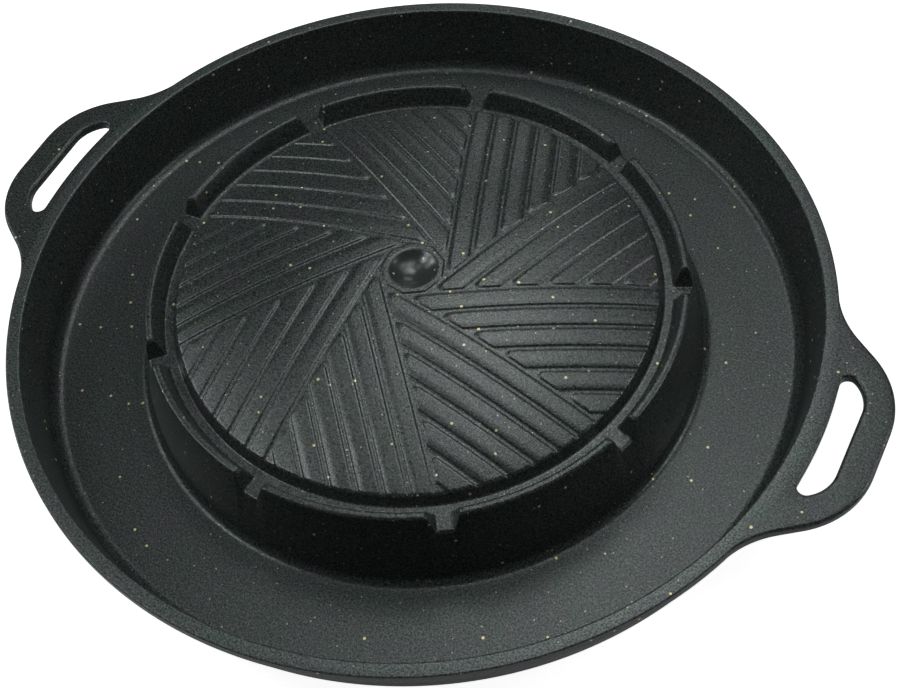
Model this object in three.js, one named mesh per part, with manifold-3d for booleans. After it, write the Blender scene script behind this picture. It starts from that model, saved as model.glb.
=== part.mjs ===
// Stovetop grill pan, cast in aluminium: a domed grill plate stands in the middle of a soup moat.
// Fat runs off the plate through its grooves, into a gutter, and out of nine notches into the moat.
// Millimetres, +Z up. The origin is the centre of the flat underside, and the handles lie along X.

import * as THREE from 'three';
import { mergeVertices } from 'three/addons/utils/BufferGeometryUtils.js';
import Module from 'manifold-3d';

const wasm = await Module();
wasm.setup();

// Pan: its height, its rim and the thickness of the casting
const rimHeight = 36.5;
const rimWidth = 6.1;
const lipHeight = 5;
const lipEdge = 1;
const castWall = 3.2;
const floorThickness = 3.5;
const pieceGap = 0.3;

// Moat: the ring of floor between the turret and the outer wall, which leans out to the rim
const moatFloorWidth = 36.2;
const moatWallLean = 5.7;
const moatFillet = 8;
const undersideFillet = 9;
const lapJointWidth = 3.5;

// Turret: the hollow cone that lifts the grill plate, with the notched wall round its top.
// Its radii are worked out from the plate's, going outwards.
const gutterHeight = 33.5;
const gutterWidth = 4.2;
const gutterFillet = 1.4;
const ringWallHeight = 9.5;
const ringWallLean = 3;
const ringTopThickness = 3.2;
const ringTopRound = 1.1;
const turretLean = 7.6;
const turretFillet = 4.5;
const turretFootWidth = 6.8;
const seatDrop = 2.7;
const seatWidth = 6.9;
const seatThickness = 3;

// Notches: the gaps in the ring wall that drain the gutter
const notchCount = 9;
const notchTurn = 22.8;
const notchFootWidth = 7.2;
const notchTopWidth = 13;

// Grill plate: a shallow dome with a pinwheel of raised pads
const plateRadius = 105;
const plateSideRun = 1.9;
const plateSideHeight = 5.7;
const plateEdgeRound = 1.5;
const plateCrown = 11.6;
const plateCrownPower = 2.4;
const plateThickness = 4.6;
const dimpleRadius = 10.3;
const dimpleDepth = 4;
const dimpleShares = [0.75, 0.45];

// Grooves between the pads
const sectorCount = 9;
const sectorTurn = 29.6;
const grooveOffset = 14.1;
const groovePitch = 10.15;
const grooveWidth = 2.5;
const grooveDepth = 1;
const padSharpCorner = 1.6;
const padBluntCorner = 0.9;
const centrePadCorner = 3.6;
const leastPadLength = 3;

// Handles: two flat loops at the height of the rim
const handleReach = 27;
const handleThickness = 5;
const handleBarWidth = 13.4;
const handleLegWidth = 13.6;
const handleCornerHalf = 31.6;
const handleFlankAngle = 34.5;
const handleCornerRadius = 40;
const handleBlendRadius = 40;
const handleEdgeRound = 1.2;
const handleRootBand = 2.7;
const slotOuterCorner = 16.2;
const slotInnerCorner = 3.3;
const slotArcShare = 0.55;

// Facets: arcs get as many as keep them this close to the true curve
const turnSegments = 72;
const plateSegments = 54;
const domeSteps = 4;
const arcError = 0.165;
const weldDistance = 0.0001;

// Radii and heights that several pieces share, from the plate outwards to the rim
const plateFootRadius = plateRadius + plateSideRun;
const plateEdgeHeight = gutterHeight + plateSideHeight;
const seatRadius = plateFootRadius - seatWidth;
const ringFootInnerRadius = plateFootRadius + pieceGap + gutterWidth;
const ringInnerRadius = ringFootInnerRadius + ringWallLean;
const ringOuterRadius = ringInnerRadius + ringTopThickness;
const ringTopHeight = gutterHeight + ringWallHeight;
const turretFootRadius = ringOuterRadius + turretLean;
const lapJointRadius = turretFootRadius + turretFootWidth;
const moatFootRadius = lapJointRadius + moatFloorWidth;
const rimInnerRadius = moatFootRadius + moatWallLean;
const rimRadius = rimInnerRadius + rimWidth;

const castMaterial = (color, roughness) =>
  new THREE.MeshStandardMaterial({ color, roughness, metalness: 0.35 });

const rad = (degrees) => THREE.MathUtils.degToRad(degrees);
const point = (x, y, radius = 0) => ({ at: new THREE.Vector2(x, y), radius });
const polar = (radius, angle) => new THREE.Vector2(radius * Math.cos(angle), radius * Math.sin(angle));

// How many straight steps stand in for an arc
function arcSteps(radius, sweep) {
  const widestStep = 2 * Math.acos(1 - Math.min(arcError / radius, 0.5));
  return Math.max(1, Math.round(Math.abs(sweep) / widestStep));
}

function arcPoints(radius, from, to) {
  const steps = arcSteps(radius, to - from);
  return Array.from({ length: steps + 1 }, (_, i) => polar(radius, from + ((to - from) * i) / steps));
}

// The straight runs that meet at a corner, and how much of each run its arc takes up
function cornerRuns(before, corner, after) {
  const back = before.at.clone().sub(corner.at);
  const ahead = after.at.clone().sub(corner.at);
  const half = back.angleTo(ahead) / 2;
  return { back, ahead, half, taken: corner.radius / Math.tan(half) };
}

// Points along the arc that rounds a corner, or the corner itself where it is sharp
function roundCorner(corner, { back, ahead, half, taken }, fit) {
  if (corner.radius === 0) return [corner.at.clone()];
  const sweep = (Math.PI - half * 2) * Math.sign(ahead.cross(back));
  const start = back.clone().setLength(taken * fit).add(corner.at);
  const middle = back.clone().normalize().add(ahead.clone().normalize());
  const centre = middle.setLength((corner.radius * fit) / Math.sin(half)).add(corner.at);
  const steps = arcSteps(corner.radius * fit, sweep);
  return Array.from({ length: steps + 1 }, (_, i) =>
    start.clone().rotateAround(centre, (sweep * i) / steps));
}

// An outline through corner points, each rounded by its own radius. Arcs shrink to fit short runs.
function roundedOutline(corners) {
  const before = (i) => corners.at(i - 1);
  const after = (i) => corners[(i + 1) % corners.length];
  const runs = corners.map((corner, i) => cornerRuns(before(i), corner, after(i)));
  return corners.flatMap((corner, i) => {
    const backFit = runs[i].back.length() / (runs[i].taken + runs.at(i - 1).taken);
    const aheadFit = runs[i].ahead.length() / (runs[i].taken + runs[(i + 1) % runs.length].taken);
    return roundCorner(corner, runs[i], Math.min(1, backFit, aheadFit));
  });
}

// Solids for joining and cutting, with shared vertices merged and faces pointing out
function toSolid(geometry) {
  const bare = geometry.clone();
  bare.deleteAttribute('normal');
  bare.deleteAttribute('uv');
  const merged = mergeVertices(bare, weldDistance);
  const index = merged.index.array;
  const triangles = [];
  for (let i = 0; i < index.length; i += 3) {
    const [a, b, c] = [index[i], index[i + 1], index[i + 2]];
    if (a !== b && b !== c && c !== a) triangles.push(a, b, c);
  }
  const vertProperties = new Float32Array(merged.attributes.position.array);
  if (signedVolume(vertProperties, triangles) < 0) triangles.reverse();
  const triVerts = new Uint32Array(triangles);
  return new wasm.Manifold(new wasm.Mesh({ numProp: 3, vertProperties, triVerts }));
}

function signedVolume(positions, triangles) {
  const corner = (i) => new THREE.Vector3().fromArray(positions, triangles[i] * 3);
  let volume = 0;
  for (let i = 0; i < triangles.length; i += 3) volume += corner(i).dot(corner(i + 1).cross(corner(i + 2)));
  return volume;
}

function toGeometry(solid) {
  const mesh = solid.getMesh();
  const geometry = new THREE.BufferGeometry();
  geometry.setAttribute('position', new THREE.BufferAttribute(new Float32Array(mesh.vertProperties), 3));
  geometry.setIndex(new THREE.BufferAttribute(new Uint32Array(mesh.triVerts), 1));
  geometry.computeVertexNormals();
  return geometry;
}

// A solid of revolution about Z, from (radius, height) corners that start on the axis or make a loop
function turned(corners, segments = turnSegments) {
  const profile = roundedOutline(corners);
  if (profile[0].x > 0) profile.push(profile[0].clone());
  return toSolid(new THREE.LatheGeometry(profile, segments).rotateX(Math.PI / 2));
}

function prism(outlines, depth, low) {
  const shapes = outlines.map((outline) => new THREE.Shape(outline));
  return toSolid(new THREE.ExtrudeGeometry(shapes, { depth, bevelEnabled: false }).translate(0, 0, low));
}

// Basin: moat floor, sloping outer wall and the flat rim with its lip
function makeBasin() {
  const slope = Math.atan2(moatWallLean, rimHeight - floorThickness);
  const wallAcross = castWall / Math.cos(slope);
  const outerAt = (height) => moatFootRadius + wallAcross + (height - floorThickness) * Math.tan(slope);
  const lapHeight = (floorThickness - pieceGap) / 2;
  return turned([
    point(lapJointRadius - lapJointWidth, 0),
    point(outerAt(0), 0, undersideFillet),
    point(outerAt(rimHeight - lipHeight), rimHeight - lipHeight, lipEdge),
    point(rimRadius, rimHeight - lipHeight, lipEdge),
    point(rimRadius, rimHeight, lipEdge),
    point(rimInnerRadius, rimHeight, lipEdge),
    point(moatFootRadius, floorThickness, moatFillet),
    point(lapJointRadius, floorThickness),
    point(lapJointRadius, lapHeight),
    point(lapJointRadius - lapJointWidth, lapHeight),
  ]);
}

// Cutter for one notch: a wedge, wider at the top, pointing out along +X
function notchCutter() {
  const top = ringTopHeight + castWall;
  const flare = (notchTopWidth - notchFootWidth) / (ringTopHeight - gutterHeight);
  const topWidth = notchFootWidth + flare * (top - gutterHeight);
  const wedge = new THREE.Shape([
    new THREE.Vector2(-notchFootWidth / 2, gutterHeight),
    new THREE.Vector2(notchFootWidth / 2, gutterHeight),
    new THREE.Vector2(topWidth / 2, top),
    new THREE.Vector2(-topWidth / 2, top),
  ]);
  const inner = ringFootInnerRadius - gutterFillet * 2;
  const depth = turretFootRadius - inner;
  const geometry = new THREE.ExtrudeGeometry(wedge, { depth, bevelEnabled: false });
  return geometry.rotateX(Math.PI / 2).rotateZ(Math.PI / 2).translate(inner, 0, 0);
}

// Turret: sloping outer skin, notched ring wall, gutter, and the seat that the plate rests on
function makeTurret() {
  const slope = Math.atan2(turretLean, ringTopHeight - floorThickness);
  const wallAcross = castWall / Math.cos(slope);
  const skinAt = (height) => ringOuterRadius + (ringTopHeight - height) * Math.tan(slope);
  const seatHeight = gutterHeight - seatDrop;
  const ceiling = seatHeight - seatThickness;
  const gutterInner = plateFootRadius + pieceGap;
  const lapHeight = (floorThickness + pieceGap) / 2;
  const footOuter = lapJointRadius - pieceGap;
  let turret = turned([
    point(skinAt(0) - wallAcross, 0),
    point(footOuter - lapJointWidth, 0),
    point(footOuter - lapJointWidth, lapHeight),
    point(footOuter, lapHeight),
    point(footOuter, floorThickness),
    point(turretFootRadius, floorThickness, turretFillet),
    point(ringOuterRadius, ringTopHeight, ringTopRound),
    point(ringInnerRadius, ringTopHeight, ringTopRound),
    point(ringFootInnerRadius, gutterHeight, gutterFillet),
    point(gutterInner, gutterHeight),
    point(gutterInner, seatHeight),
    point(seatRadius, seatHeight),
    point(seatRadius, ceiling),
    point(skinAt(ceiling) - wallAcross, ceiling, castWall),
  ]);
  const cutter = notchCutter();
  for (let i = 0; i < notchCount; i++) {
    const turn = rad(notchTurn + (360 / notchCount) * i);
    turret = turret.subtract(toSolid(cutter.clone().rotateZ(turn)));
  }
  return turret;
}

// Height of the plate's dome at a given radius
function domeHeight(radius) {
  const share = Math.min(radius / plateRadius, 1);
  return plateEdgeHeight + plateCrown * (1 - share ** plateCrownPower);
}

// Radii of the dome's facets, from its edge to the rim of the dimple
const domeStations = Array.from({ length: domeSteps }, (_, i) =>
  plateRadius - ((plateRadius - dimpleRadius) / domeSteps) * i);

// The plate's blank, before its grooves: dome, edge, seat ring, hollow underside and centre dimple
function makePlateBlank() {
  const under = (radius) => domeHeight(radius) - plateThickness;
  const sphere = (dimpleRadius ** 2 + dimpleDepth ** 2) / (2 * dimpleDepth);
  const dimpleFloor = domeHeight(0) - dimpleDepth;
  const bowl = (radius) => dimpleFloor + sphere - Math.sqrt(sphere ** 2 - radius ** 2);
  const bottom = gutterHeight - seatDrop + pieceGap;
  const hollow = seatRadius - pieceGap;
  return turned([
    point(0, dimpleFloor - plateThickness),
    point(dimpleRadius, dimpleFloor - plateThickness),
    point(dimpleRadius + dimpleDepth, under(dimpleRadius + dimpleDepth)),
    ...domeStations.slice(1, -1).reverse().map((radius) => point(radius, under(radius))),
    point(hollow, bottom),
    point(plateFootRadius, bottom),
    point(plateFootRadius, gutterHeight),
    point(plateRadius, plateEdgeHeight, plateEdgeRound),
    ...domeStations.slice(1).map((radius) => point(radius, domeHeight(radius))),
    point(dimpleRadius, domeHeight(dimpleRadius)),
    ...dimpleShares.map((share) => point(dimpleRadius * share, bowl(dimpleRadius * share))),
    point(0, dimpleFloor),
  ], plateSegments);
}

// Everything that lies above the floor of the grooves
function makeGrooveLayer() {
  const above = domeHeight(0) + grooveDepth;
  const outer = plateFootRadius + grooveDepth;
  const floorLine = domeStations.map((radius) => point(radius, domeHeight(radius) - grooveDepth));
  return turned([
    point(0, domeHeight(0) - grooveDepth - dimpleDepth),
    point(dimpleRadius, domeHeight(dimpleRadius) - grooveDepth),
    ...floorLine.reverse(),
    point(outer, domeHeight(plateRadius) - grooveDepth),
    point(outer, above),
    point(0, above),
  ], plateSegments);
}

// A point given along and beside a groove direction, where beside is clockwise of it
function besideGroove(along, beside, angle) {
  return new THREE.Vector2(along, -beside).rotateAround(new THREE.Vector2(), angle);
}

// A pad's near side lies beside its groove. It starts on the edge of the next sector's first groove.
const padNear = (row) => grooveOffset + groovePitch * row + grooveWidth / 2;

function padStart(beside) {
  const step = (2 * Math.PI) / sectorCount;
  const cut = grooveOffset - grooveWidth / 2;
  return (beside * Math.cos(step) - cut) / Math.sin(step);
}

// How many pads fit beside each other in a sector before they get too short
function padsPerSector() {
  const startRadius = (row) => Math.hypot(padStart(padNear(row)), padNear(row));
  let count = 0;
  while (startRadius(count) < plateRadius - leastPadLength) count++;
  return count;
}

// Outline of one raised pad: its inner end is cut along the next sector's first groove
function padOutline(sector, row) {
  const angle = rad(sectorTurn + (360 / sectorCount) * sector);
  const near = padNear(row);
  const far = near + groovePitch - grooveWidth;
  const reach = plateRadius * 2;
  const corner = (along, beside, radius) => ({ at: besideGroove(along, beside, angle), radius });
  return roundedOutline([
    corner(padStart(near), near, padSharpCorner),
    corner(padStart(far), far, padBluntCorner),
    corner(reach, far, 0),
    corner(reach, near, 0),
  ]);
}

// The many-sided pad round the dimple, bounded by the first groove of every sector
function centrePadOutline() {
  const side = (2 * Math.PI) / sectorCount;
  const cornerRadius = (grooveOffset - grooveWidth / 2) / Math.cos(side / 2);
  const first = rad(sectorTurn) - Math.PI / 2 + side / 2;
  return roundedOutline(Array.from({ length: sectorCount }, (_, i) =>
    ({ at: polar(cornerRadius, first + side * i), radius: centrePadCorner })));
}

function makeGrillPlate() {
  const outlines = [centrePadOutline()];
  for (let sector = 0; sector < sectorCount; sector++) {
    for (let row = 0; row < padsPerSector(); row++) outlines.push(padOutline(sector, row));
  }
  const pads = prism(outlines, ringTopHeight * 2, 0);
  return makePlateBlank().subtract(makeGrooveLayer().subtract(pads));
}

// Handle outline in the pan's plane, pointing along +X, with its root reaching in under the rim.
// Each flank blends into the rim along an arc that touches the rim's own circle.
function handleOutline() {
  const outer = rimRadius + handleReach;
  const flank = rad(handleFlankAngle);
  const flankDistance = outer * Math.sin(flank) + handleCornerHalf * Math.cos(flank);
  const tilt = Math.acos((flankDistance + handleBlendRadius) / (rimRadius + handleBlendRadius));
  const blendAngle = Math.PI / 2 - flank - tilt;
  const alongRim = (flankDistance - rimRadius * Math.cos(tilt)) / Math.sin(tilt);
  const touch = polar(rimRadius, blendAngle);
  const knee = polar(alongRim, blendAngle + Math.PI / 2).add(touch);
  const root = polar(rimInnerRadius, blendAngle);
  return roundedOutline([
    point(root.x, -root.y),
    point(touch.x, -touch.y),
    point(knee.x, -knee.y, handleBlendRadius),
    point(outer, -handleCornerHalf, handleCornerRadius),
    point(outer, handleCornerHalf, handleCornerRadius),
    point(knee.x, knee.y, handleBlendRadius),
    point(touch.x, touch.y),
    point(root.x, root.y),
  ]);
}

// Finger slot: its outer side runs beside the handle's edge, its inner side beside the rim. The arc
// of the inner side stops short of the corners and runs on straight, so that they can be round.
function slotOutline() {
  const outer = rimRadius + handleReach - handleBarWidth;
  const inner = rimRadius + pieceGap + handleRootBand;
  const flank = rad(handleFlankAngle);
  const bend = handleCornerHalf + handleBarWidth * Math.tan(flank) - handleLegWidth / Math.cos(flank);
  const legDistance = outer * Math.sin(flank) + bend * Math.cos(flank);
  const end = bend + (outer - inner) * Math.tan(flank);
  const arcEnd = Math.asin(end / inner) * slotArcShare;
  const spread = Math.cos(arcEnd + flank);
  const cornerX = (inner * Math.cos(flank) - legDistance * Math.sin(arcEnd)) / spread;
  const cornerY = (legDistance * Math.cos(arcEnd) - inner * Math.sin(flank)) / spread;
  return roundedOutline([
    point(cornerX, cornerY, slotInnerCorner),
    ...arcPoints(inner, arcEnd, -arcEnd).map(({ x, y }) => point(x, y)),
    point(cornerX, -cornerY, slotInnerCorner),
    point(outer, -bend, slotOuterCorner),
    point(outer, bend, slotOuterCorner),
  ]);
}

// The handle's flat loop with softened edges, cut off just outside the rim
function makeHandle(turn) {
  const shape = new THREE.Shape(handleOutline());
  shape.holes.push(new THREE.Path(slotOutline()));
  const geometry = new THREE.ExtrudeGeometry(shape, {
    depth: handleThickness - handleEdgeRound * 2,
    bevelThickness: handleEdgeRound,
    bevelSize: handleEdgeRound,
    bevelOffset: -handleEdgeRound,
    bevelSegments: 2,
  });
  const rimSpace = turned([
    point(0, 0),
    point(rimRadius + pieceGap, 0),
    point(rimRadius + pieceGap, rimHeight + castWall),
    point(0, rimHeight + castWall),
  ]);
  const loop = toSolid(geometry.translate(0, 0, rimHeight - handleThickness + handleEdgeRound));
  return loop.subtract(rimSpace).rotate([0, 0, turn]);
}

function addMesh(group, name, solid, material) {
  const mesh = new THREE.Mesh(toGeometry(solid), material);
  mesh.name = name;
  group.add(mesh);
}

const pan = new THREE.Group();
addMesh(pan, 'basin', makeBasin(), castMaterial(0x35373a, 0.55));
addMesh(pan, 'drain_turret', makeTurret(), castMaterial(0x2d2f32, 0.55));
addMesh(pan, 'grill_plate', makeGrillPlate(), castMaterial(0x3b3d41, 0.5));
addMesh(pan, 'handle_left', makeHandle(180), castMaterial(0x35373a, 0.55));
addMesh(pan, 'handle_right', makeHandle(0), castMaterial(0x35373a, 0.55));

export default pan;
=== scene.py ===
# Stovetop grill pan for Blender 4.5: one coated casting with a grooved dome, a notched drain ring,
# a moat, a flat rim and two looped handles. Shapes are worked out in millimetres.
import math
import bpy
import bmesh
import numpy as np
from mathutils import Matrix, Vector


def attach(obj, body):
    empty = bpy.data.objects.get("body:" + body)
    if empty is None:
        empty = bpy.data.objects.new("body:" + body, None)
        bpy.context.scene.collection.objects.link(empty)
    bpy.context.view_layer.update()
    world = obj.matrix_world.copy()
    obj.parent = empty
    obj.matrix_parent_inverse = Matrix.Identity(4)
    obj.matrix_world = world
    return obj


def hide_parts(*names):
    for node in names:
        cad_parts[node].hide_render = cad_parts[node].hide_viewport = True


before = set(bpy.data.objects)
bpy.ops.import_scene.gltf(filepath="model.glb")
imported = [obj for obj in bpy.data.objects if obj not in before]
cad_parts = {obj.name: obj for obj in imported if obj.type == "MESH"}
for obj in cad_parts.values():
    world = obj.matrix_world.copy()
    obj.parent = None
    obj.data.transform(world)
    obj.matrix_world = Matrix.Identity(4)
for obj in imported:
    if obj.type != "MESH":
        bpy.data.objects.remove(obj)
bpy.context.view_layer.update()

metresPerMm = 0.001
cm3PerM3 = 1e6
print("frame loaded:", len(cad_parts), "nodes")


# Shape helpers

shortest = 1e-6        # lengths and slopes are kept above this before they divide
tiny = 1e-9            # the same for sums and sines, and a margin for rounding down
straightSweep = 0.002  # a round that turns less than this, in radians, is drawn straight


# Eases from 0 to 1 as the value goes from low to high: three times the square less twice the cube
def smoothStep(value, low, high):
    share = np.clip((value - low) / (high - low), 0, 1)
    return share * share * (3 - 2 * share)


# The lower of two heights, with a round of the given width where they cross
def softMin(a, b, width):
    return np.minimum(a, b) - np.maximum(width - np.abs(a - b), 0) ** 2 / (4 * width)


# A loop through corners, each swapped for an arc that touches both its sides. The arc's centre is
# on the corner's bisector, one radius over the sine of the half angle away, and the arc is swept
# by weighing its two end spokes with sines. Where two rounds need more than the side between them,
# both shrink. corners is (columns, count, 2), radii is (columns, count), steps is one per corner.
def roundedPath(corners, radii, steps):
    back = np.roll(corners, 1, axis=1) - corners
    ahead = np.roll(corners, -1, axis=1) - corners
    backRun = np.maximum(np.linalg.norm(back, axis=-1), shortest)
    aheadRun = np.maximum(np.linalg.norm(ahead, axis=-1), shortest)
    back, ahead = back / backRun[..., None], ahead / aheadRun[..., None]
    half = np.arccos(np.clip((back * ahead).sum(-1), -1, 1)) / 2
    taken = radii / np.maximum(np.tan(half), shortest)
    backFit = backRun / np.maximum(taken + np.roll(taken, 1, axis=1), tiny)
    aheadFit = aheadRun / np.maximum(taken + np.roll(taken, -1, axis=1), tiny)
    fit = np.minimum(1, np.minimum(backFit, aheadFit))
    path = []
    for i, count in enumerate(steps):
        corner = corners[:, i:i + 1]
        if count == 0:
            path.append(corner)
            continue
        reach = (taken[:, i] * fit[:, i])[:, None, None]
        start, end = corner + back[:, i:i + 1] * reach, corner + ahead[:, i:i + 1] * reach
        middle = back[:, i:i + 1] + ahead[:, i:i + 1]
        middle = middle / np.maximum(np.linalg.norm(middle, axis=-1, keepdims=True), tiny)
        away = radii[:, i] * fit[:, i] / np.maximum(np.sin(half[:, i]), shortest)
        centre = corner + middle * away[:, None, None]
        sweep = (math.pi - 2 * half[:, i])[:, None, None]
        share = np.linspace(0, 1, count + 1)[None, :, None]
        spokes = np.sin((1 - share) * sweep) * (start - centre) + np.sin(share * sweep) * (end - centre)
        bent = centre + spokes / np.maximum(np.sin(sweep), tiny)
        path.append(np.where(sweep > straightSweep, bent, start + (end - start) * share))
    return np.concatenate(path, axis=1)


# The same loop from rows of two coordinates, the corner's round and its number of arc steps, where
# 0 steps keep the corner. The first three may hold one value for each column of a shape. It serves
# for an open path as well, as long as its ends have no round.
def roundedRows(rows):
    columns = max(np.size(value) for row in rows for value in row[:3])
    table = np.array([[np.broadcast_to(value, columns) for value in row[:3]] for row in rows], dtype=float)
    return roundedPath(table[:, :2].transpose(2, 0, 1), table[:, 2].T, [row[3] for row in rows])


# Revolves (radius, height) profiles about the vertical axis: x is radius times cosine, y times sine
def revolve(profile, angles):
    x, y = profile[..., 0] * np.cos(angles), profile[..., 0] * np.sin(angles)
    return np.stack([x, y, np.broadcast_to(profile[..., 1], x.shape)], axis=-1)


# Four-sided faces between neighbours of a grid of columns and rows
def gridFaces(columns, rows, wrapColumns=False, wrapRows=False, first=0):
    i = np.arange(columns if wrapColumns else columns - 1)[:, None]
    j = np.arange(rows if wrapRows else rows - 1)[None, :]
    nextI, nextJ = (i + 1) % columns, (j + 1) % rows
    corners = np.broadcast_arrays(i * rows + j, nextI * rows + j, nextI * rows + nextJ, i * rows + nextJ)
    return np.stack(corners, axis=-1).reshape(-1, 4) + first


# Turns points and four-sided faces into an object that stands for a CAD node. Points closer than
# the weld, in mm, become one, and edges that turn by more than the crease, in degrees, stay sharp.
def makePiece(name, node, points, faces, material, weld=0.0004, crease=48):
    places = points.reshape(-1, 3) * metresPerMm
    mesh = bpy.data.meshes.new(name)
    mesh.vertices.add(len(places))
    mesh.vertices.foreach_set("co", places.astype(np.float32).ravel())
    mesh.loops.add(faces.size)
    mesh.loops.foreach_set("vertex_index", faces.astype(np.int32).ravel())
    mesh.polygons.add(len(faces))
    mesh.polygons.foreach_set("loop_start", np.arange(0, faces.size, faces.shape[1], dtype=np.int32))
    mesh.update(calc_edges=True)
    mesh.validate()
    grid = bmesh.new()
    grid.from_mesh(mesh)
    bmesh.ops.remove_doubles(grid, verts=grid.verts, dist=weld * metresPerMm)
    bmesh.ops.recalc_face_normals(grid, faces=grid.faces)
    loose = sum(1 for edge in grid.edges if len(edge.link_faces) != 2)
    volume = grid.calc_volume(signed=True) * cm3PerM3
    grid.to_mesh(mesh)
    grid.free()
    mesh.polygons.foreach_set("use_smooth", np.ones(len(mesh.polygons), dtype=bool))
    mesh.set_sharp_from_angle(angle=math.radians(crease))
    mesh.materials.append(material)
    piece = bpy.data.objects.new(name, mesh)
    bpy.context.scene.collection.objects.link(piece)
    triangles = sum(len(polygon.vertices) - 2 for polygon in mesh.polygons)
    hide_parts(node)
    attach(piece, "root")
    print(name, "has", triangles, "triangles,", loose, "open edges, volume", round(volume, 1), "cm3")


# Coating

# What shapes the shared effects: how much finer the grit is than the pits, the band of noise that
# spreads over 0 to 1, where a speck's full colour starts, and how two sizes of patches are weighed
effects = {
    "gritFineness": 2.3, "grainBand": (0.38, 0.62), "speckCore": 0.75,
    "smallFineness": 6.0, "broadShare": 0.6, "patchBand": (0.35, 0.65),
}


# Links a socket to another one, or sets it to a value
def feed(tree, socket, value):
    if isinstance(value, bpy.types.NodeSocket):
        tree.links.new(value, socket)
    elif value is not None:
        socket.default_value = value


# A node group with named inputs, each given as (name, kind, default), and one named output
def newGroup(name, inputs, output):
    group = bpy.data.node_groups.new(name, "ShaderNodeTree")
    for label, kind, value in inputs:
        socket = group.interface.new_socket(name=label, in_out="INPUT", socket_type=kind)
        if value is not None:
            socket.default_value = value
    group.interface.new_socket(name=output, in_out="OUTPUT", socket_type="NodeSocketFloat")
    return group, group.nodes.new("NodeGroupInput"), group.nodes.new("NodeGroupOutput")


def mathNode(tree, operation, first, second=None, third=None):
    node = tree.nodes.new("ShaderNodeMath")
    node.operation = operation
    for socket, value in zip(node.inputs, (first, second, third)):
        feed(tree, socket, value)
    return node.outputs[0]


def mapNode(tree, value, fromLow, fromHigh, toLow, toHigh):
    node = tree.nodes.new("ShaderNodeMapRange")
    feed(tree, node.inputs["Value"], value)
    feed(tree, node.inputs["From Min"], fromLow)
    feed(tree, node.inputs["From Max"], fromHigh)
    feed(tree, node.inputs["To Min"], toLow)
    feed(tree, node.inputs["To Max"], toHigh)
    return node.outputs[0]


def noiseNode(tree, place, scale, detail):
    node = tree.nodes.new("ShaderNodeTexNoise")
    feed(tree, node.inputs["Vector"], place)
    feed(tree, node.inputs["Scale"], scale)
    feed(tree, node.inputs["Detail"], detail)
    return node.outputs["Fac"]


# Blasted metal under a thin coat: coarse pits and finer grit added up, spread out from 0 to 1
def makeCastGrain():
    group, source, result = newGroup(
        "castGrain", [("Place", "NodeSocketVector", None), ("Pits", "NodeSocketFloat", 1000.0),
                      ("Grit Share", "NodeSocketFloat", 0.4)], "Height")
    pits = noiseNode(group, source.outputs["Place"], source.outputs["Pits"], 1.0)
    gritScale = mathNode(group, "MULTIPLY", source.outputs["Pits"], effects["gritFineness"])
    grit = noiseNode(group, source.outputs["Place"], gritScale, 1.0)
    mixed = group.nodes.new("ShaderNodeMix")
    feed(group, mixed.inputs["Factor"], source.outputs["Grit Share"])
    feed(group, mixed.inputs["A"], pits)
    feed(group, mixed.inputs["B"], grit)
    height = mapNode(group, mixed.outputs["Result"], *effects["grainBand"], 0.0, 1.0)
    feed(group, result.inputs["Height"], height)
    return group


# Mineral specks: 1 inside small balls scattered through space, so the surface cuts them at all sizes
def makeMineralSpecks():
    group, source, result = newGroup(
        "mineralSpecks", [("Place", "NodeSocketVector", None), ("Spread", "NodeSocketFloat", 100.0),
                          ("Reach", "NodeSocketFloat", 0.07)], "Speck")
    cells = group.nodes.new("ShaderNodeTexVoronoi")
    feed(group, cells.inputs["Randomness"], 1.0)
    feed(group, cells.inputs["Vector"], source.outputs["Place"])
    feed(group, cells.inputs["Scale"], source.outputs["Spread"])
    core = mathNode(group, "MULTIPLY", source.outputs["Reach"], effects["speckCore"])
    speck = mapNode(group, cells.outputs["Distance"], source.outputs["Reach"], core, 0.0, 1.0)
    feed(group, result.inputs["Speck"], speck)
    return group


# Patches of thinner and thicker coat: two sizes of soft noise, as one value from 0 to 1
def makeCoatPatches():
    group, source, result = newGroup(
        "coatPatches", [("Place", "NodeSocketVector", None), ("Size", "NodeSocketFloat", 30.0)], "Patch")
    broad = noiseNode(group, source.outputs["Place"], source.outputs["Size"], 2.0)
    smallScale = mathNode(group, "MULTIPLY", source.outputs["Size"], effects["smallFineness"])
    small = noiseNode(group, source.outputs["Place"], smallScale, 2.0)
    broadPart = mathNode(group, "MULTIPLY", broad, effects["broadShare"])
    smallPart = mathNode(group, "MULTIPLY", small, 1 - effects["broadShare"])
    both = mathNode(group, "ADD", broadPart, smallPart)
    feed(group, result.inputs["Patch"], mapNode(group, both, *effects["patchBand"], 0.0, 1.0))
    return group


castGrain, mineralSpecks, coatPatches = makeCastGrain(), makeMineralSpecks(), makeCoatPatches()

# In a look, heights, radii and the grain's height are in metres. Pits, spreads and the patch size
# count cells in a metre, and a reach is a share of a cell.
castLook = {
    "green": (0.058, 0.076, 0.067), "violet": (0.068, 0.068, 0.074), "patchSize": 60.0,
    "pits": 1150.0, "gritShare": 0.45, "grainHeight": 0.00004, "grainRange": (0.28, 1.72),
    "speckColor": (1.0, 0.86, 0.48), "speckSpread": 105.0, "speckReach": 0.075,
    "dustSpread": 205.0, "dustReach": 0.08, "dustShare": 0.5,
    "glintColor": (0.17, 0.17, 0.165), "glintSpread": 480.0, "glintReach": 0.17,
    "metallic": 0.3, "specular": 0.5, "roughness": (0.21, 0.25),
}
plateLook = dict(castLook, specular=0.95, roughness=(0.22, 0.25),
                 smoothRadius=0.0112, smoothFrom=0.8, smoothGrain=0.2)
# The basin's coat paints a sheen on the rim's level top: its colour is made paler above the given heights
basinLook = dict(castLook, rimSheenHeights=(0.0358, 0.0364), rimPaintedSheen=1.45)
middleGrain = 0.5


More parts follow.
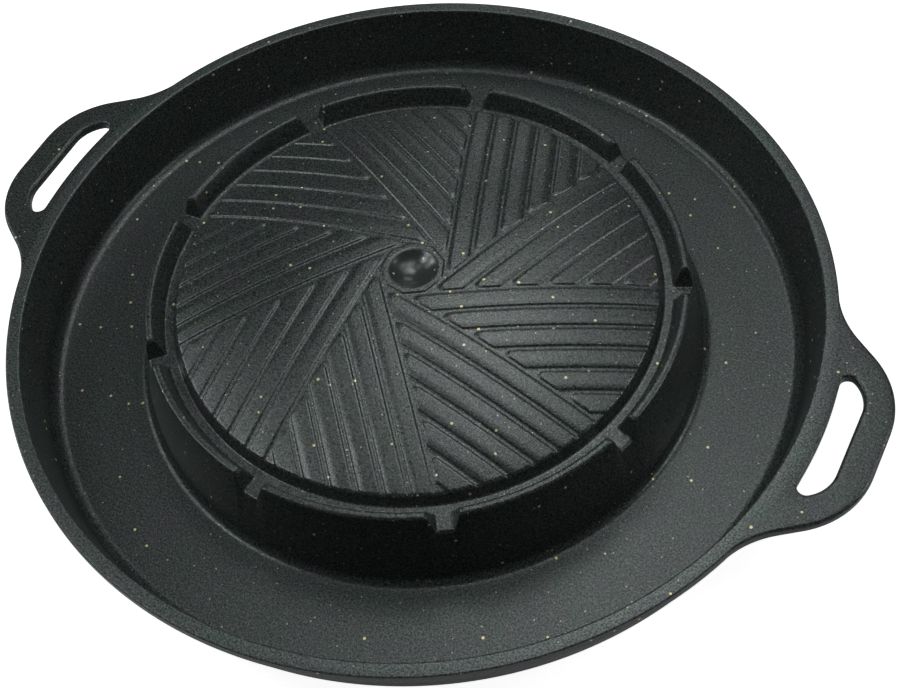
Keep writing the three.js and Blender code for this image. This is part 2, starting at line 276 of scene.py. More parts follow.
# Places an effect's group in a material, with its values
def groupNode(tree, group, place, values):
    node = tree.nodes.new("ShaderNodeGroup")
    node.node_tree = group
    feed(tree, node.inputs["Place"], place)
    for label, value in values.items():
        feed(tree, node.inputs[label], value)
    return node.outputs[0]


# Mixes two colours, each given as a socket or as red, green and blue
def colorMix(tree, factor, first, second):
    node = tree.nodes.new("ShaderNodeMix")
    node.data_type = "RGBA"
    feed(tree, node.inputs["Factor"], factor)
    for label, value in (("A", first), ("B", second)):
        socket = next(one for one in node.inputs if one.name == label and one.type == "RGBA")
        feed(tree, socket, (*value, 1) if isinstance(value, tuple) else value)
    return next(one for one in node.outputs if one.type == "RGBA")


# How much grain a place keeps: a small share near the vertical axis, all outside the given radius,
# and the change between them starts at a share of that radius
def grainKept(tree, place, settings):
    spot = tree.nodes.new("ShaderNodeSeparateXYZ")
    feed(tree, spot.inputs["Vector"], place)
    across = mathNode(tree, "MULTIPLY", spot.outputs["Y"], spot.outputs["Y"])
    squares = mathNode(tree, "MULTIPLY_ADD", spot.outputs["X"], spot.outputs["X"], across)
    outside = settings["smoothRadius"]
    inside = outside * settings["smoothFrom"]
    return mapNode(tree, mathNode(tree, "SQRT", squares), inside, outside, settings["smoothGrain"], 1)


# Dark coat: a colour between greenish and violet patches, made lighter and darker by the grain, with
# painted glints over it, pale dots that stand in for light sparkling off the grain, then dust and gold
# specks. On the basin the rim's level top gets a painted sheen. The grain is also its bump.
def makeCoating(name, settings):
    material = bpy.data.materials.new(name)
    material.use_nodes = True
    tree = material.node_tree
    shader = tree.nodes["Principled BSDF"]
    place = tree.nodes.new("ShaderNodeTexCoord").outputs["Object"]

    def specks(kind):
        values = {"Spread": settings[kind + "Spread"], "Reach": settings[kind + "Reach"]}
        return groupNode(tree, mineralSpecks, place, values)

    grainValues = {"Pits": settings["pits"], "Grit Share": settings["gritShare"]}
    grain = groupNode(tree, castGrain, place, grainValues)
    patch = groupNode(tree, coatPatches, place, {"Size": settings["patchSize"]})
    speck, dust, glint = specks("speck"), specks("dust"), specks("glint")
    bright = mathNode(tree, "MAXIMUM", speck, mathNode(tree, "MULTIPLY", dust, settings["dustShare"]))
    if "smoothRadius" in settings:  # the dimple is smoother, so its grain is pulled to a middle value
        kept = grainKept(tree, place, settings)
        swing = mathNode(tree, "SUBTRACT", grain, middleGrain)
        grain = mathNode(tree, "MULTIPLY_ADD", swing, kept, middleGrain)
        glint = mathNode(tree, "MULTIPLY", glint, kept)
    tone = mapNode(tree, grain, 0, 1, *settings["grainRange"])
    if "rimPaintedSheen" in settings:  # painted sheen: the rim's level top is painted paler than the rest, standing in for the highlight it catches
        spot = tree.nodes.new("ShaderNodeSeparateXYZ")
        feed(tree, spot.inputs["Vector"], place)
        # Painted sheen: the colour grows paler from the lower to the upper height, up to the given factor
        lift = mapNode(tree, spot.outputs["Z"], *settings["rimSheenHeights"], 1, settings["rimPaintedSheen"])
        tone = mathNode(tree, "MULTIPLY", tone, lift)
    shade = tree.nodes.new("ShaderNodeVectorMath")
    shade.operation = "SCALE"
    feed(tree, shade.inputs[0], colorMix(tree, patch, settings["green"], settings["violet"]))
    feed(tree, shade.inputs["Scale"], tone)
    # Painted glints: pale dots mixed into the colour in place of sparkles of light
    color = colorMix(tree, glint, shade.outputs[0], settings["glintColor"])
    feed(tree, shader.inputs["Base Color"], colorMix(tree, bright, color, settings["speckColor"]))
    feed(tree, shader.inputs["Roughness"], mapNode(tree, patch, 0, 1, *settings["roughness"]))
    feed(tree, shader.inputs["Metallic"], settings["metallic"])
    feed(tree, shader.inputs["Specular IOR Level"], settings["specular"])
    bump = tree.nodes.new("ShaderNodeBump")
    feed(tree, bump.inputs["Distance"], settings["grainHeight"])
    feed(tree, bump.inputs["Height"], grain)
    feed(tree, shader.inputs["Normal"], bump.outputs["Normal"])
    return material


castCoat = makeCoating("castCoat", castLook)
plateCoat = makeCoating("plateCoat", plateLook)
basinCoat = makeCoating("basinCoat", basinLook)
print("coating made")


# Basin: moat floor, leaning wall and flat rim

basin = {
    "seamRadius": 132, "floorHeight": 3.5, "footRadius": 168.2, "footRound": 6,
    "rimInner": 173.9, "rimOuter": 180, "rimHeight": 36.5, "rimRound": 1.0,
    "lipHeight": 5, "lipInner": 176.28, "lipRound": 0.7, "underRadius": 170.84, "underRound": 16,
    "columns": 360,
}


# The profile of the basin is one closed loop of corners, rounded and revolved
def makeBasinShell(shape):
    floor, top, lip = shape["floorHeight"], shape["rimHeight"], shape["lipRound"]
    lipFoot = top - shape["lipHeight"]
    profile = roundedRows([
        (shape["seamRadius"], floor, 0, 0),
        (shape["footRadius"], floor, shape["footRound"], 12),
        (shape["rimInner"], top, shape["rimRound"], 6),
        (shape["rimOuter"], top, lip, 6),
        (shape["rimOuter"], lipFoot, lip, 5),
        (shape["lipInner"], lipFoot, lip, 4),
        (shape["underRadius"], 0, shape["underRound"], 12),
        (shape["seamRadius"], 0, 0, 0),
    ])
    angles = np.linspace(0, 2 * math.pi, shape["columns"], endpoint=False)
    points = revolve(profile, angles[:, None])
    makePiece("basinShell", "basin", points, gridFaces(*points.shape[:2], True, True), basinCoat)


makeBasinShell(basin)


# Drain turret: leaning skin, notched ring wall, gutter and the ledge under the plate

turret = {
    "gutterInner": 108.2, "gutterHeight": 33.5, "ringFootInner": 111.4, "ringFootRound": 1.4,
    "ringTopInner": 114.4, "ringTopOuter": 117.6, "ringHeight": 43, "ringRound": 1.5,
    "footRadius": 125.2, "footRound": 4.5, "seamRadius": 132, "floorHeight": 3.5, "wall": 3.26,
    "ceiling": 27.8, "ceilingRound": 3.2, "seatRadius": 100, "seatHeight": 30.95, "insideRound": 1,
    "notchCount": 9, "notchTurn": 22.8, "notchFootHalf": 3.6, "notchTopHalf": 6.5,
    "notchFootRound": 0.9, "notchTopRound": 2.2, "notchFootSteps": 4, "notchTopSteps": 7,
    "notchSpread": 0.7, "notchSpreadHeight": 2.5, "notchLip": 1.9,
    # Columns beside a notch's middle, in mm: on its floor, how many on its side, and on the wall.
    # They run parallel to the notch up to one distance and are radial from another on.
    "floorLines": (1.2, 2.2), "sideLines": 4, "wallLines": (9.6, 11.5, 14, 17.5, 22, 26.5, 31, 35.5),
    "parallelTo": 9, "radialFrom": 18,
    "lineRadius": 115,  # where a radial column is as far from the notch's middle as its number says
}


# Each column of the turret has its own profile. The ring wall's height there follows the notch's
# own outline: flat floor, slanted side, flat top, with a round at both ends of the side.
# Columns run parallel to a notch where they cross it and turn radial between two notches.
def makeTurretShell(shape):
    gutter, top, floor = shape["gutterHeight"], shape["ringHeight"], shape["floorHeight"]
    outline = roundedRows([
        (0, gutter, 0, 0),
        (shape["notchFootHalf"], gutter, shape["notchFootRound"], shape["notchFootSteps"]),
        (shape["notchTopHalf"], top, shape["notchTopRound"], shape["notchTopSteps"]),
        (shape["wallLines"][0], top, 0, 0),
    ])[0]
    sideStart = shape["notchFootSteps"] + 1
    side = np.linspace(outline[sideStart, 0], outline[sideStart + 1, 0], shape["sideLines"] + 2)[1:-1]
    lines = np.sort(np.concatenate([outline[:, 0], side, shape["floorLines"], shape["wallLines"][1:]]))
    halfway = math.radians(180 / shape["notchCount"]) * shape["lineRadius"]
    lines = np.concatenate([-lines[:0:-1], lines, [halfway]])
    level = np.interp(np.abs(lines), outline[:, 0], outline[:, 1])

    # On a notch's floor the wall's two inner corners are level, so they are spread apart, and its
    # outer edge gets a larger round
    inNotch = 1 - smoothStep(level - gutter, 0, shape["notchSpreadHeight"])
    spread = shape["notchSpread"] * inNotch
    lip = shape["ringRound"] + (shape["notchLip"] - shape["ringRound"]) * inNotch
    innerLean = (shape["ringTopInner"] - shape["ringFootInner"]) / (top - gutter)
    outerLean = (shape["footRadius"] - shape["ringTopOuter"]) / (top - floor)
    skinAt = lambda height: shape["ringTopOuter"] + (top - height) * outerLean
    ceiling, wall, inside = shape["ceiling"], shape["wall"], shape["insideRound"]
    profile = roundedRows([
        (shape["gutterInner"], gutter, 0, 0),
        (shape["ringFootInner"] - spread, gutter, shape["ringFootRound"], 5),
        (shape["ringFootInner"] + (level - gutter) * innerLean + spread, level, shape["ringRound"], 7),
        (skinAt(level), level, lip, 7),
        (shape["footRadius"], floor, shape["footRound"], 9),
        (shape["seamRadius"], floor, 0, 0),
        (shape["seamRadius"], 0, 0, 0),
        (skinAt(0) - wall, 0, inside, 2),
        (skinAt(ceiling) - wall, ceiling, shape["ceilingRound"], 4),
        (shape["seatRadius"], ceiling, inside, 2),
        (shape["seatRadius"], shape["seatHeight"], 0, 0),
        (shape["gutterInner"], shape["seatHeight"], 0, 0),
    ])
    beside = lines[:, None]
    parallel = np.arcsin(np.clip(beside / profile[..., 0], -1, 1))
    radial = beside / shape["lineRadius"]
    share = smoothStep(np.abs(beside), shape["parallelTo"], shape["radialFrom"])
    turn = parallel + (radial - parallel) * share
    starts = np.radians(shape["notchTurn"] + 360 / shape["notchCount"] * np.arange(shape["notchCount"]))
    angles = (turn[None] + starts[:, None, None]).reshape(-1, profile.shape[1])
    points = revolve(np.tile(profile, (shape["notchCount"], 1, 1)), angles)
    makePiece("drainTurret", "drain_turret", points, gridFaces(*angles.shape, True, True), castCoat)


makeTurretShell(turret)


# Grill plate: a dome with nine sectors of raised pads, laid out like a pinwheel

plate = {
    "radius": 105, "edgeHeight": 39.2, "crown": 11.6, "crownPower": 2.4, "gridRadius": 101,
    "edgeRound": 2.2, "footRadius": 106.9, "footHeight": 33.5, "footRound": 1.0, "outerRadius": 108.2,
    "sectorTurn": 29.6, "sectors": 9, "grooveOffset": 14.1, "groovePitch": 10.15, "grooves": 7,
    "grooveDepth": 0.6, "grooveFloor": 0.65, "grooveTop": 1.5, "padEdge": 1.1,
    "runOutAboveFoot": 0.5, "runOutBelowEdge": 2,
    "sharpCorner": 1.6, "bluntCorner": 0.9, "centreCorner": 3.2,
    "dimpleRadius": 10.3, "dimpleDepth": 4, "dimpleRound": 0.9,
    "thickness": 4.6, "seatHeight": 31.05, "seatRadius": 99.7, "seatRound": 1,
    "bossOuter": 14.3, "bossInner": 10.3, "bossRound": 2,
}
# Where the plate's grid lines run, in mm unless a note says otherwise. They stand close together on
# a groove's walls.
gridLines = {
    # Beside a groove's centre, then shares of a sector's inner side
    "beside": (-1.5, -1.22, -0.93, -0.65, 0.65, 0.93, 1.22, 1.5, 2.2, 3.1, 4.3, 5.8),
    "side": (0, 0.098, 0.127, 0.156, 0.185, 0.227, 0.275, 0.325, 0.385, 0.46, 0.56, 0.7, 0.85, 1),
    "shortOfEdge": (2.2, 0.9), "edgeGap": 0.3,  # last lines before the edge, and the room they leave
    "edgeSteps": 4,  # from the grid's edge to the rounded edge
    "centre": (0, 0.35, 0.65, 0.8, 0.95, 1.1, 1.3, 1.45, 1.6, 1.85, 2.2, 2.6, 3.0, 3.4, 3.8, 4.3, 4.9,
               6, 7.5, 9, 10.5, 12, 13.2),  # in from the ring of groove centres
    "under": (90, 78, 64, 48, 32, 18),  # radii on the underside
}
lineDigits = 4    # lines that agree to this many decimals are one
noGroove = 1000   # in mm, a groove too far away to matter
ballLimit = 0.98  # share of its radius from which the dimple's ball rises no further


# Height of the dome at a radius: the edge's height plus the crown, less a power of the radius
def domeHeight(radius, shape):
    share = np.minimum(radius / shape["radius"], 1)
    return shape["edgeHeight"] + shape["crown"] * (1 - share ** shape["crownPower"])


# Distance inside two lines that meet at an angle, with a round instead of the corner. Within the
# round, it is the round's reach less the distance from the round's centre.
def roundedWedge(a, c, angle, reach):
    lean = -math.cos(angle)
    u, v = reach - a, reach - c
    alongA, alongC = (u - lean * v) / (1 - lean ** 2), (v - lean * u) / (1 - lean ** 2)
    away = np.sqrt(np.maximum(alongA ** 2 + alongC ** 2 + 2 * alongA * alongC * lean, 0))
    return np.where((alongA > 0) & (alongC > 0), reach - away, np.minimum(a, c))


# Depth of the cut at a distance from a groove's centre: full on its floor, eased to none at its top
def grooveCut(toGroove, shape):
    return shape["grooveDepth"] * (1 - smoothStep(toGroove, shape["grooveFloor"], shape["grooveTop"]))


# Height of the plate's top: the dome inside, the edge's own profile outside, less the groove's cut,
# which runs out over the rounded edge
def plateHeight(radius, toGroove, edgeRadii, edgeHeights, shape):
    edge = np.interp(radius, edgeRadii, edgeHeights)
    height = np.where(radius < edgeRadii[0], domeHeight(radius, shape), edge)
    low, high = shape["footHeight"] + shape["runOutAboveFoot"], shape["edgeHeight"] - shape["runOutBelowEdge"]
    return height - grooveCut(toGroove, shape) * smoothStep(height, low, high)


# A sector's grid has lines parallel to its grooves and rows across them. It starts on the line where
# its grooves meet the neighbour's first groove, ends at the edge, and is turned round the axis once
# for each sector. The many-sided middle and the underside close the shell.
def makePlateShell(shape):
    step = 2 * math.pi / shape["sectors"]
    cosStep, sinStep = math.cos(step), math.sin(step)
    offset, pitch, grooves = shape["grooveOffset"], shape["groovePitch"], shape["grooves"]
    half = offset * (1 - cosStep) / sinStep
    innerAt = lambda line: (line * cosStep - offset) / sinStep
    farAlong = lambda radius: np.sqrt(radius ** 2 - offset ** 2)
    points, sheets = [], []

    def addSheet(grid, wrapColumns=False):
        sheets.append(gridFaces(*grid.shape[:2], wrapColumns, first=sum(len(part) for part in points)))
        points.append(grid.reshape(-1, 3))

    # The edge's profile: the dome's last stretch, its rounded edge, the side and the round at its foot
    edgePath = roundedRows([
        (shape["gridRadius"], domeHeight(shape["gridRadius"], shape), 0, 0),
        (shape["radius"], shape["edgeHeight"], shape["edgeRound"], 8),
        (shape["footRadius"], shape["footHeight"], shape["footRound"], 4),
        (shape["outerRadius"], shape["footHeight"], 0, 0),
    ])[0]
    stretch = np.linspace(edgePath[0], edgePath[1], gridLines["edgeSteps"] + 1)
    edgeRadii, edgeHeights = np.concatenate([stretch, edgePath[2:]]).T

    # Lines beside a groove: clusters round each groove's centre, then one for each edge radius
    centres = offset + pitch * np.arange(grooves)
    clusters = (centres[:, None] + gridLines["beside"]).ravel()
    outer = offset * cosStep + farAlong(edgeRadii) * sinStep
    inner = np.concatenate([[offset], clusters[clusters > offset], outer[0] - gridLines["shortOfEdge"]])
    inner = np.unique(np.round(inner[inner < outer[0] - gridLines["edgeGap"]], lineDigits))
    lines = np.concatenate([inner, outer])

    # Rows along a groove: shares of its length that meet the neighbour's lines, then edge radii
    sideSpots = -half + 2 * half * np.array(gridLines["side"])
    spots = np.concatenate([sideSpots[:-1], (np.append(inner, outer[0]) - offset * cosStep) / sinStep])
    shares = (spots + half) / (farAlong(edgeRadii[0]) + half)
    start = innerAt(lines)[:, None]
    reachAt = lambda radius: np.sqrt(np.maximum(radius ** 2 - lines[:, None] ** 2, 0))
    inboard = start + shares[None] * (np.maximum(reachAt(edgeRadii[0]), start) - start)
    outboard = np.maximum(reachAt(edgeRadii[None, 1:]), start)
    along = np.concatenate([inboard, outboard], axis=1)
    beside = np.broadcast_to(lines[:, None], along.shape)

    # Distance to the nearest groove centre, inside the pad that a point belongs to
    row = np.clip(np.floor((beside - offset) / pitch + tiny), 0, grooves - 1)
    near = beside - (offset + pitch * row)
    far = np.where(row < grooves - 1, pitch - near, noGroove)
    cutEnd = (along - start) * sinStep
    edge = shape["padEdge"]
    toGroove = np.minimum(roundedWedge(near, cutEnd, step, shape["sharpCorner"] + edge),
                          roundedWedge(far, cutEnd, math.pi - step, shape["bluntCorner"] + edge))
    height = plateHeight(np.hypot(along, beside), toGroove, edgeRadii, edgeHeights, shape)
    turns = np.radians(shape["sectorTurn"]) + step * np.arange(shape["sectors"])
    for turn in turns:
        x = along * math.cos(turn) + beside * math.sin(turn)
        y = along * math.sin(turn) - beside * math.cos(turn)
        addSheet(np.stack([x, y, height], axis=-1))

    # Underside's columns follow the outer boundary, sector by sector
    rims = [part.reshape(*along.shape, 3)[::-1, -1, :2][:-1] for part in points]
    rimAngles = np.arctan2(*np.concatenate(rims).T[::-1])

    # Centre: rays from the middle to the many-sided ring of groove centres, with the dimple, which is
    # a ball pressed into the dome
    ringX = (sideSpots[None, :-1] * np.cos(turns)[:, None] + offset * np.sin(turns)[:, None]).ravel()
    ringY = (sideSpots[None, :-1] * np.sin(turns)[:, None] - offset * np.cos(turns)[:, None]).ravel()
    rays = 1 - np.append(gridLines["centre"], offset) / offset
    x, y = ringX[:, None] * rays, ringY[:, None] * rays
    radius = np.hypot(x, y)
    bearing = np.arctan2(y, x) - (turns[0] - math.pi / 2)
    folded = np.abs((bearing + step / 2) % step - step / 2)
    toSide = offset - radius * np.cos(folded)
    toNext = offset - radius * np.cos(step - folded)
    toGroove = roundedWedge(toSide, toNext, math.pi - step, shape["centreCorner"] + edge)
    depth = shape["dimpleDepth"]
    ball = (shape["dimpleRadius"] ** 2 + depth ** 2) / (2 * depth)
    rise = ball - np.sqrt(ball ** 2 - np.minimum(radius, ball * ballLimit) ** 2)
    bowl = domeHeight(0, shape) - depth + rise
    z = softMin(domeHeight(radius, shape) - grooveCut(toGroove, shape), bowl, shape["dimpleRound"])
    addSheet(np.stack([x, y, z], axis=-1), True)

    # Underside: the outer boundary carried down and in along one profile, to the axis
    under = lambda radius: domeHeight(radius, shape) - shape["thickness"]
    profile = roundedRows([
        (shape["outerRadius"], shape["footHeight"], 0, 0),
        (shape["outerRadius"], shape["seatHeight"], 0, 0),
        (shape["seatRadius"], shape["seatHeight"], shape["seatRound"], 2),
        *[(spot, under(spot), 0, 0) for spot in gridLines["under"]],
        (shape["bossOuter"], under(shape["bossOuter"]), shape["bossRound"], 3),
        (shape["bossInner"], under(0) - depth, shape["bossRound"], 3),
        (0, under(0) - depth, 0, 0),
    ])
    addSheet(revolve(profile, rimAngles[:, None]), True)
    makePiece("grillPlate", "grill_plate", np.concatenate(points), np.concatenate(sheets), plateCoat)


makePlateShell(plate)


# Handles: flat loops whose edges are rounded, with their roots inside the rim

handle = {
    "outer": 207, "rim": 180, "rootRadius": 176, "dipRadius": 179.4, "top": 36.49, "bottom": 31.51,
    "bar": 13.4, "leg": 13.6, "cornerHalf": 31.6, "flankAngle": 34.5, "cornerRound": 40, "blendRound": 40,
    "slotInner": 183, "slotOuterRound": 17.5, "slotInnerRound": 3.6, "edgeRound": 1.6, "rootRound": 1.0,
    "rootSpare": 0.02,  # how far the root runs past the blend, in radians
    "slotArcShare": 0.55, "slotCornerReach": 4.5,
    # Radii between which the edges go from the root's round to the loop's, outside and in the slot
    "loopRounding": (172, 190), "slotRounding": (181, 188),
    # Points on the two arcs about the pan's axis, and steps along half an outline and round it
    "rootPoints": 24, "slotPoints": 10, "counts": (34, 40, 24, 16), "roundSteps": 6, "flatSteps": 4,
}


# Points spaced evenly by length along a path, with as many steps as given between two marks
def alongPath(path, lengths, marks, counts):
    parts = [np.linspace(start, end, count, endpoint=False)
             for start, end, count in zip(marks, marks[1:], counts)]
    spots = np.append(np.concatenate(parts), marks[-1])
    return np.stack([np.interp(spots, lengths, path[:, 0]), np.interp(spots, lengths, path[:, 1])], axis=-1)


# A path's normals: its own direction turned a quarter, to the side that is given as 1 or -1
def pathNormals(path, side):
    ahead = np.roll(path, -1, axis=0) - np.roll(path, 1, axis=0)
    across = np.stack([ahead[:, 1], -ahead[:, 0]], axis=-1) * side
    return across / np.linalg.norm(across, axis=1, keepdims=True)


# A quarter round along a path: out by sine less one, up or down by cosine less one, times its radius
def quarterRound(path, normal, radius, angles, height, up):
    out = (np.sin(angles) - 1)[None, :, None] * radius[:, None, None] * normal[:, None]
    rise = height + up * (np.cos(angles) - 1)[None] * radius[:, None]
    return np.concatenate([path[:, None] + out, rise[..., None]], axis=-1)


# Half of each outline, from the root's middle to the bar's middle, is laid out by its own length
# in as many steps. The cross-section joins the two: straight top and bottom, quarter rounds
# along each outline's own normal.
def makeHandle(name, node, turn, shape):
    flank, bar = math.radians(shape["flankAngle"]), shape["outer"]
    polar = lambda radius, angle: np.array([radius * math.cos(angle), radius * math.sin(angle)])

    # Loop: root arc inside the rim, blend out of the rim, straight flank, corner, bar
    flankDistance = bar * math.sin(flank) + shape["cornerHalf"] * math.cos(flank)
    tilt = math.acos((flankDistance + shape["blendRound"]) / (shape["rim"] + shape["blendRound"]))
    blend = math.pi / 2 - flank - tilt
    alongRim = (flankDistance - shape["rim"] * math.cos(tilt)) / math.sin(tilt)
    touch = polar(shape["rim"], blend)
    knee = touch + polar(alongRim, blend + math.pi / 2)
    rootEnd = blend + shape["rootSpare"]
    outer = roundedRows([
        *[(*polar(shape["rootRadius"], angle), 0, 0) for angle in np.linspace(0, blend, shape["rootPoints"])],
        (*polar(shape["rootRadius"], rootEnd), 0, 0),
        (*polar(shape["dipRadius"], rootEnd), 0, 0),
        (*touch, 0, 0),
        (*knee, shape["blendRound"], 30),
        (bar, shape["cornerHalf"], shape["cornerRound"], 24),
        (bar, 0, 0, 0),
    ])[0]

    # Slot: arc along the rim, tangent run to a small round, flank, large round, bar
    slotFlank, slotBar = flankDistance - shape["leg"], bar - shape["bar"]
    slotEnd = math.pi / 2 - flank - math.acos(slotFlank / shape["slotInner"])
    slotBend = (slotFlank - slotBar * math.sin(flank)) / math.cos(flank)
    arcEnd = slotEnd * shape["slotArcShare"]
    leave, ahead = polar(shape["slotInner"], arcEnd), polar(1, arcEnd + math.pi / 2)
    across = np.array([math.sin(flank), math.cos(flank)])
    slotCorner = leave + ahead * ((slotFlank - leave @ across) / (ahead @ across))
    slot = roundedRows([
        *[(*polar(shape["slotInner"], angle), 0, 0) for angle in np.linspace(0, arcEnd, shape["slotPoints"])],
        (*slotCorner, shape["slotInnerRound"], 14),
        (slotBar, slotBend, shape["slotOuterRound"], 20),
        (slotBar, 0, 0, 0),
    ])[0]

    # Both outlines get the same number of points, shared out between matching marks
    runs = lambda path: np.concatenate([[0], np.cumsum(np.linalg.norm(np.diff(path, axis=0), axis=1))])
    outerRuns, slotRuns = runs(outer), runs(slot)
    runTo = lambda path, lengths, spot: lengths[np.argmin(np.linalg.norm(path - spot, axis=1))]
    outerMarks = [0, runTo(outer, outerRuns, touch), runTo(outer, outerRuns, knee),
                  runTo(outer, outerRuns, (bar, shape["cornerHalf"])), outerRuns[-1]]
    cornerRun, cornerReach = runTo(slot, slotRuns, slotCorner), shape["slotCornerReach"]
    slotMarks = [0, cornerRun - cornerReach, cornerRun + cornerReach,
                 runTo(slot, slotRuns, (slotBar, slotBend)), slotRuns[-1]]
    mirror = lambda path: np.concatenate([path, path[-2:0:-1] * (1, -1)])
    outer = mirror(alongPath(outer, outerRuns, outerMarks, shape["counts"]))
    slot = mirror(alongPath(slot, slotRuns, slotMarks, shape["counts"]))

    # Cross-section: down the loop's outside, in under it, up through the slot, back over the top
    outerNormal, slotNormal = pathNormals(outer, -1), pathNormals(slot, 1)
    rootRound, growth = shape["rootRound"], shape["edgeRound"] - shape["rootRound"]
    outerRound = rootRound + growth * smoothStep(outer[:, 0], *shape["loopRounding"])
    slotRound = rootRound + growth * smoothStep(slot[:, 0], *shape["slotRounding"])
    top, bottom, quarter = shape["top"], shape["bottom"], np.linspace(0, math.pi / 2, shape["roundSteps"] + 1)
    topOuter = quarterRound(outer, outerNormal, outerRound, quarter, top, 1)
    lowOuter = quarterRound(outer, outerNormal, outerRound, quarter[::-1], bottom, -1)
    lowSlot = quarterRound(slot, slotNormal, slotRound, quarter, bottom, -1)
    topSlot = quarterRound(slot, slotNormal, slotRound, quarter[::-1], top, 1)
    share = np.linspace(0, 1, shape["flatSteps"] + 1)[None, 1:-1, None]
    under = lowOuter[:, -1:] + (lowSlot[:, :1] - lowOuter[:, -1:]) * share
    over = topSlot[:, -1:] + (topOuter[:, :1] - topSlot[:, -1:]) * share
    loop = np.concatenate([topOuter, lowOuter, under, lowSlot, topSlot, over], axis=1)
    x = loop[..., 0] * math.cos(turn) - loop[..., 1] * math.sin(turn)
    y = loop[..., 0] * math.sin(turn) + loop[..., 1] * math.cos(turn)
    points = np.stack([x, y, loop[..., 2]], axis=-1)
    makePiece(name, node, points, gridFaces(*points.shape[:2], True, True), castCoat)


makeHandle("handleLeft", "handle_left", math.pi, handle)
makeHandle("handleRight", "handle_right", 0, handle)


# Floor and light

# Sizes are in metres and powers in watts. The camera sees the floor's whole glow and reflections a
# share of it, and it adds no other light.
studio = {
    "floorSize": 30.0, "floorColor": (0.8, 0.8, 0.8, 1), "floorRoughness": 0.9,
    "glowColor": (1, 1, 1, 1), "floorGlow": 0.93, "reflectedShare": 0.12,
    "worldColor": (1, 1, 1, 1), "worldStrength": 0.03,
    "lampSize": 0.32, "lampColor": (0.95, 1.0, 0.985), "lampDistance": 1.3,
}
lamps = {
    "highLamp": {"azimuth": 96, "elevation": 66, "power": 0.66},
    "highLeftLamp": {"azimuth": 118, "elevation": 59, "power": 0.7},
    "highNearLamp": {"azimuth": 120, "elevation": 66, "power": 0.34},
    "backLamp": {"azimuth": 90, "elevation": 54, "power": 0.35},
    "topRightLamp": {"azimuth": 60, "elevation": 80, "power": 0.52},
    "topLamp": {"azimuth": 180, "elevation": 88, "power": 0.41},
    "highBackLamp": {"azimuth": 168, "elevation": 66, "power": 0.27},
    "highRightLamp": {"azimuth": 48, "elevation": 66, "power": 0.38},
    "rightLamp": {"azimuth": 60, "elevation": 55, "power": 0.27},
    "rightLowLamp": {"azimuth": 30, "elevation": 35, "power": 1.67},
    "rightFloorLamp": {"azimuth": 20, "elevation": 14, "power": 0.9},
    "leftLamp": {"azimuth": 210, "elevation": 54, "power": 1.65},
    "leftMiddleLamp": {"azimuth": 180, "elevation": 41, "power": 0.42},
    "leftLowLamp": {"azimuth": 190, "elevation": 28, "power": 1.5},
    "frontLeftLamp": {"azimuth": 208, "elevation": 40, "power": 0.38},
    "backLowLamp": {"azimuth": 110, "elevation": 28, "power": 0.35},
    "topNearLamp": {"azimuth": 98, "elevation": 74, "power": 0.18},
}


def makeFloor(settings):
    half = settings["floorSize"] / 2
    corners = [(-half, -half, 0), (half, -half, 0), (half, half, 0), (-half, half, 0)]
    mesh = bpy.data.meshes.new("studioFloor")
    mesh.from_pydata(corners, [], [(0, 1, 2, 3)])
    floor = bpy.data.objects.new("studioFloor", mesh)
    bpy.context.scene.collection.objects.link(floor)
    material = bpy.data.materials.new("studioWhite")
    material.use_nodes = True
    tree = material.node_tree
    shader = tree.nodes["Principled BSDF"]
    feed(tree, shader.inputs["Base Color"], settings["floorColor"])
    feed(tree, shader.inputs["Roughness"], settings["floorRoughness"])
    feed(tree, shader.inputs["Specular IOR Level"], 0)
    feed(tree, shader.inputs["Emission Color"], settings["glowColor"])
    ray = tree.nodes.new("ShaderNodeLightPath")
    bounced = mathNode(tree, "MAXIMUM", ray.outputs["Is Glossy Ray"], ray.outputs["Is Transmission Ray"])
    bounced = mathNode(tree, "MULTIPLY", bounced, settings["reflectedShare"])
    seen = mathNode(tree, "MAXIMUM", ray.outputs["Is Camera Ray"], bounced)
    glow = mathNode(tree, "MULTIPLY", seen, settings["floorGlow"])
    feed(tree, shader.inputs["Emission Strength"], glow)
    mesh.materials.append(material)


# Square lamps on a ball round the pan, each turned towards its middle
def makeLamp(name, settings):
    lamp = bpy.data.lights.new(name, "AREA")
    lamp.shape = "SQUARE"
    lamp.size = studio["lampSize"]
    lamp.energy = settings["power"]
    lamp.color = studio["lampColor"]
    lampObject = bpy.data.objects.new(name, lamp)
    bpy.context.scene.collection.objects.link(lampObject)
    turn, lift = math.radians(settings["azimuth"]), math.radians(settings["elevation"])
    away = Vector((math.cos(turn) * math.cos(lift), math.sin(turn) * math.cos(lift), math.sin(lift)))
    lampObject.location = away * studio["lampDistance"]
    lampObject.rotation_euler = away.to_track_quat("Z", "Y").to_euler()


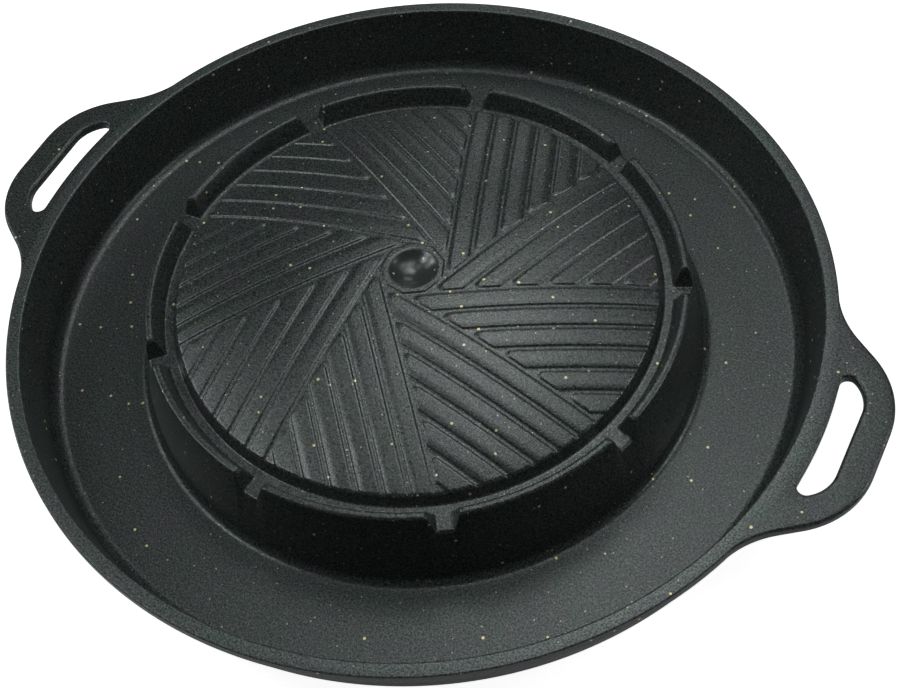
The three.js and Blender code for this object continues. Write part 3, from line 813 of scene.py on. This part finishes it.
def makeWorld(settings):
    world = bpy.data.worlds.new("studioWorld")
    world.use_nodes = True
    background = world.node_tree.nodes["Background"]
    background.inputs["Color"].default_value = settings["worldColor"]
    background.inputs["Strength"].default_value = settings["worldStrength"]
    bpy.context.scene.world = world


makeFloor(studio)
makeWorld(studio)
for lampName, lampSettings in lamps.items():
    makeLamp(lampName, lampSettings)
print("floor and lamps set")


# Camera: looks at the middle of the rim from its azimuth and elevation, then pans, tilts and rolls.
# The target, the distance, the lens and the sensor are in mm, and the clip distances in metres.

view = {
    "target": (0, 0, 36.5), "azimuth": -55.4, "elevation": 52.128, "distance": 665.308,
    "pan": -0.922, "tilt": -2.28, "roll": 9.087,
    "lens": 61.17, "sensor": 36, "clip": (0.05, 60),
}


def makeCamera(settings):
    lift, turn = math.radians(settings["elevation"]), math.radians(settings["azimuth"] + 90)
    away = Vector((0, -math.cos(lift), math.sin(lift)))
    forward, right = -away, Vector((1, 0, 0))
    up = right.cross(forward)
    pan = Matrix.Rotation(math.radians(settings["pan"]), 3, up)
    forward, right = pan @ forward, pan @ right
    tilt = Matrix.Rotation(math.radians(settings["tilt"]), 3, right)
    forward, up = tilt @ forward, tilt @ up
    roll = Matrix.Rotation(math.radians(settings["roll"]), 3, forward)
    right, up = roll @ right, roll @ up
    axes = Matrix.Rotation(turn, 3, "Z") @ Matrix((right, up, -forward)).transposed()
    place = Matrix.Rotation(turn, 3, "Z") @ (away * settings["distance"]) + Vector(settings["target"])
    camera = bpy.data.cameras.new("studioCamera")
    camera.lens = settings["lens"]
    camera.sensor_fit = "HORIZONTAL"
    camera.sensor_width = settings["sensor"]
    camera.clip_start, camera.clip_end = settings["clip"]
    cameraObject = bpy.data.objects.new("studioCamera", camera)
    cameraObject.matrix_world = Matrix.LocRotScale(place * metresPerMm, axes.to_quaternion(), None)
    bpy.context.scene.collection.objects.link(cameraObject)
    bpy.context.scene.camera = cameraObject


makeCamera(view)
bpy.context.scene.view_settings.view_transform = "Standard"
print("camera set")
